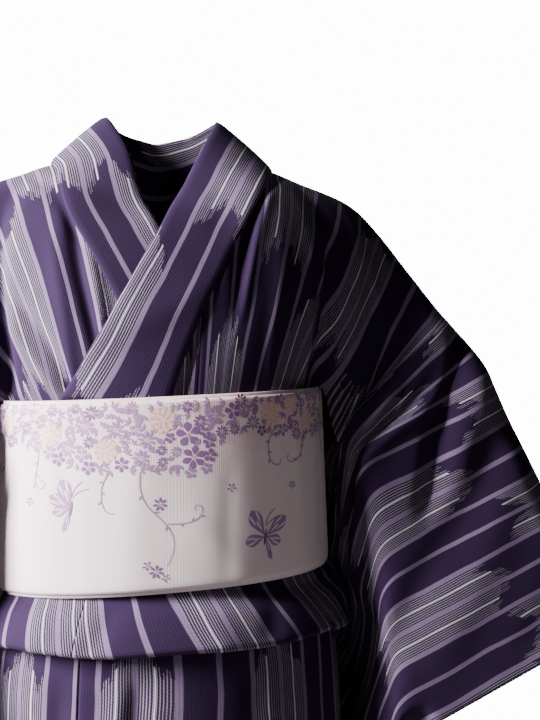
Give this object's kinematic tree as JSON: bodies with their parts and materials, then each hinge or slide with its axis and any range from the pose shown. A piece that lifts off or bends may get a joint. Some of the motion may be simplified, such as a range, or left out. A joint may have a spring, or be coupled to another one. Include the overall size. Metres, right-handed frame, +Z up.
{
  "type": "kimono with obi",
  "caption": "Adult kimono in worn form, hollow, with wide sleeves, crossed collar, waist tuck and a half-width obi tied in a bow at the back",
  "frame": {"origin": "Middle of the neck base, level with the tops of the shoulders, where the wearer carries the garment", "axes": "+Z up, front towards -Y, the wearer's left towards +X"},
  "size_m": [0.8914, 0.3082, 1.3444],
  "materials": {
    "cloth": "Matte woven cloth, aubergine with lavender and white arrow-feather stripes",
    "obi_cloth": "Close pale pink-white obi weave with a band of small blossoms, leaves and scrolls"
  },
  "bodies": {
    "root": {"body_left_upper": "cloth", "body_right_upper": "cloth", "okumi_left_upper": "cloth", "okumi_right_upper": "cloth", "collar": "cloth", "sleeve_left_front": "cloth", "sleeve_left_back": "cloth", "sleeve_right_front": "cloth", "sleeve_right_back": "cloth", "skirt_back_left": "cloth", "skirt_back_right": "cloth", "skirt_front_right": "cloth", "skirt_okumi_right": "cloth", "skirt_front_left": "cloth", "skirt_okumi_left": "cloth", "tuck_back_left": "cloth", "tuck_back_right": "cloth", "tuck_front_left": "cloth", "tuck_okumi_left": "cloth", "obi_wrap_inner": "obi_cloth", "obi_wrap_outer": "obi_cloth", "obi_bow_left": "obi_cloth", "obi_bow_right": "obi_cloth", "obi_bow_knot": "obi_cloth"}
  },
  "joints": []
}
